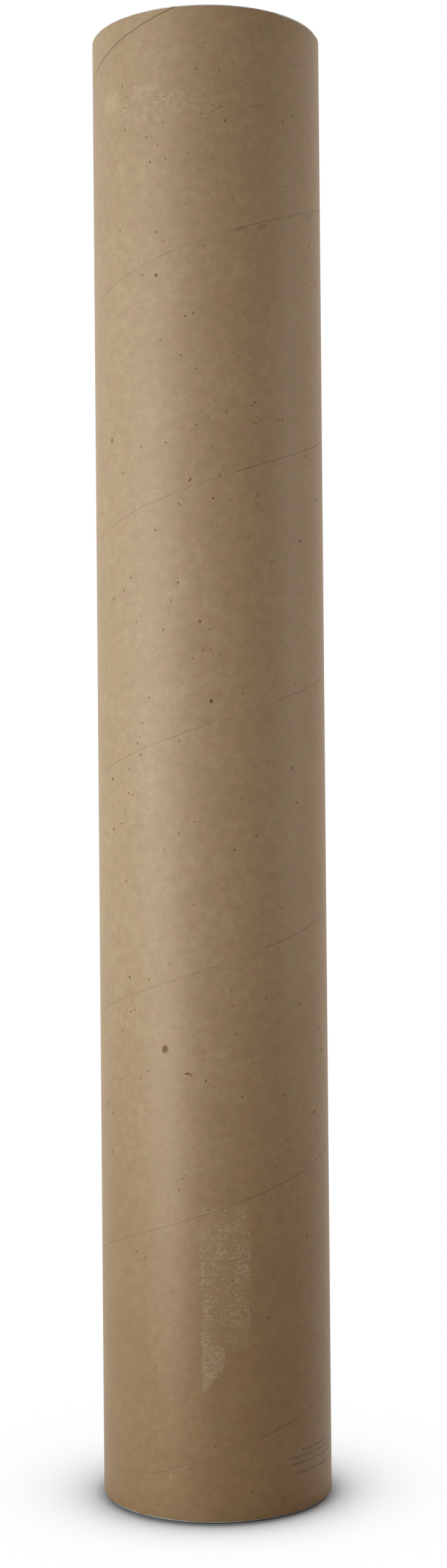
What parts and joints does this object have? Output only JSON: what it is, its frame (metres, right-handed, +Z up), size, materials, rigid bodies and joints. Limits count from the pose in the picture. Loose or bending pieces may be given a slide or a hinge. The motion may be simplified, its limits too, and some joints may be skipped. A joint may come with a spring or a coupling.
{
  "type": "cardboard mailing tube",
  "caption": "Spiral-wound kraft paperboard mailing tube with a helical seam, closed at each end by a ribbed push-in plastic plug that pulls out along the axis.",
  "frame": {"origin": "centre of the lower plug's foot, on the surface that the tube stands on", "axes": "+Z up along the tube's axis, -Y towards the front that the picture shows"},
  "size_m": [0.1052, 0.1052, 0.67],
  "materials": {
    "kraft_paperboard": "matt brown kraft, wound solid paperboard",
    "white_polyethylene": "natural white, satin moulding"
  },
  "bodies": {
    "tube": {"tube": "kraft_paperboard"},
    "top_plug": {"top_plug": "white_polyethylene"},
    "bottom_plug": {"bottom_plug": "white_polyethylene"}
  },
  "joints": [
    {"name": "top_plug_pull", "type": "slide", "parent": "tube", "child": "top_plug", "axis": [0, 0, 1], "range_m": [0, 0.03]},
    {"name": "bottom_plug_pull", "type": "slide", "parent": "tube", "child": "bottom_plug", "axis": [0, 0, -1], "range_m": [0, 0.03]}
  ]
}
